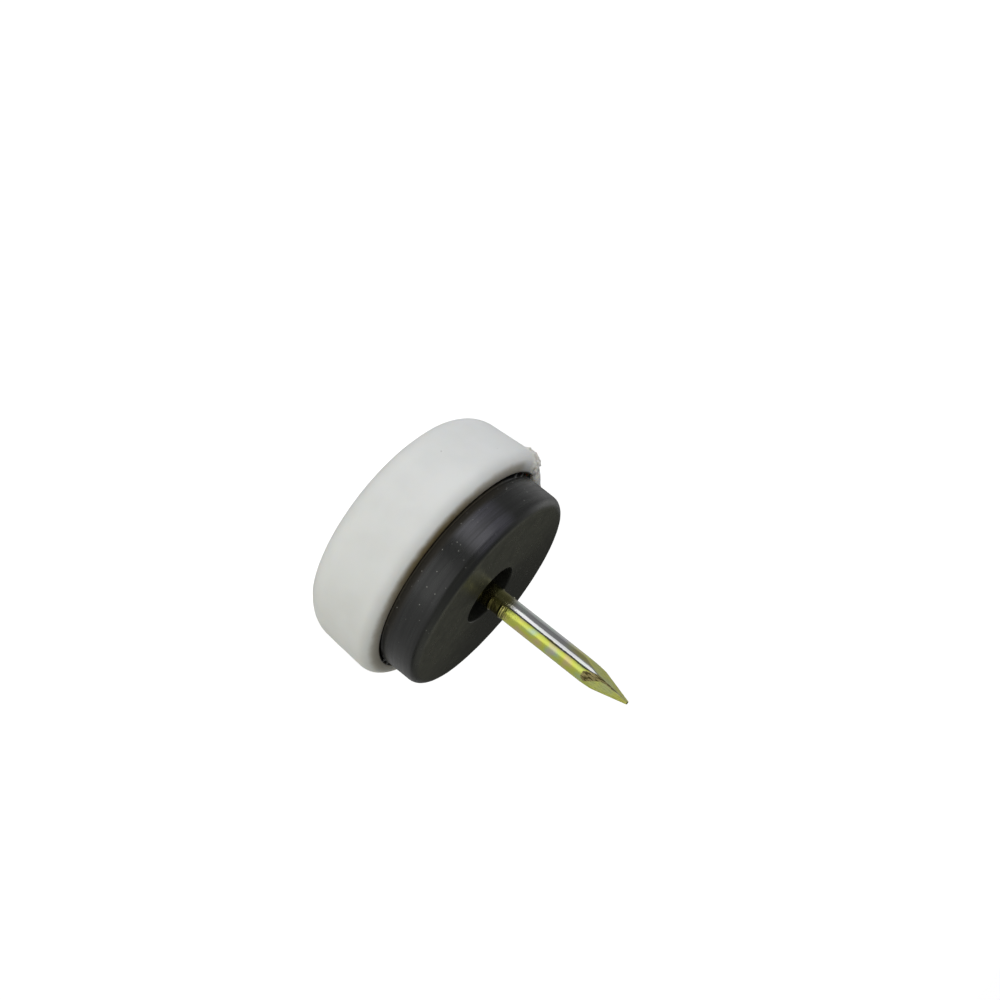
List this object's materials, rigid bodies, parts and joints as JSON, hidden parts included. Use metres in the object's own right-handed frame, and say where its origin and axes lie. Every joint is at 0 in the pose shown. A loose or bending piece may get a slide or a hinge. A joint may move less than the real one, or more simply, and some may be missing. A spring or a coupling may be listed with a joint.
{
  "type": "furniture glide",
  "caption": "Nail-on furniture glide: a white moulded cap with a rolled gliding face, a black rubber cushion held in it, and a plated nail for the leg.",
  "frame": {"origin": "centre of the gliding face, which rests on the floor", "axes": "+Z along the nail towards its point; X and Y square to the four faces of the nail's point"},
  "size_m": [0.025, 0.025, 0.0285],
  "materials": {
    "white_plastic": "satin moulded white with a fine uneven skin",
    "black_rubber": "semi-matt black with faint circular streaks and specks of dust",
    "plated_steel": "bright zinc plate with a yellow, rainbow-tinted passivation"
  },
  "bodies": {
    "root": {"cap": "white_plastic", "cushion": "black_rubber", "nail": "plated_steel"}
  },
  "joints": []
}
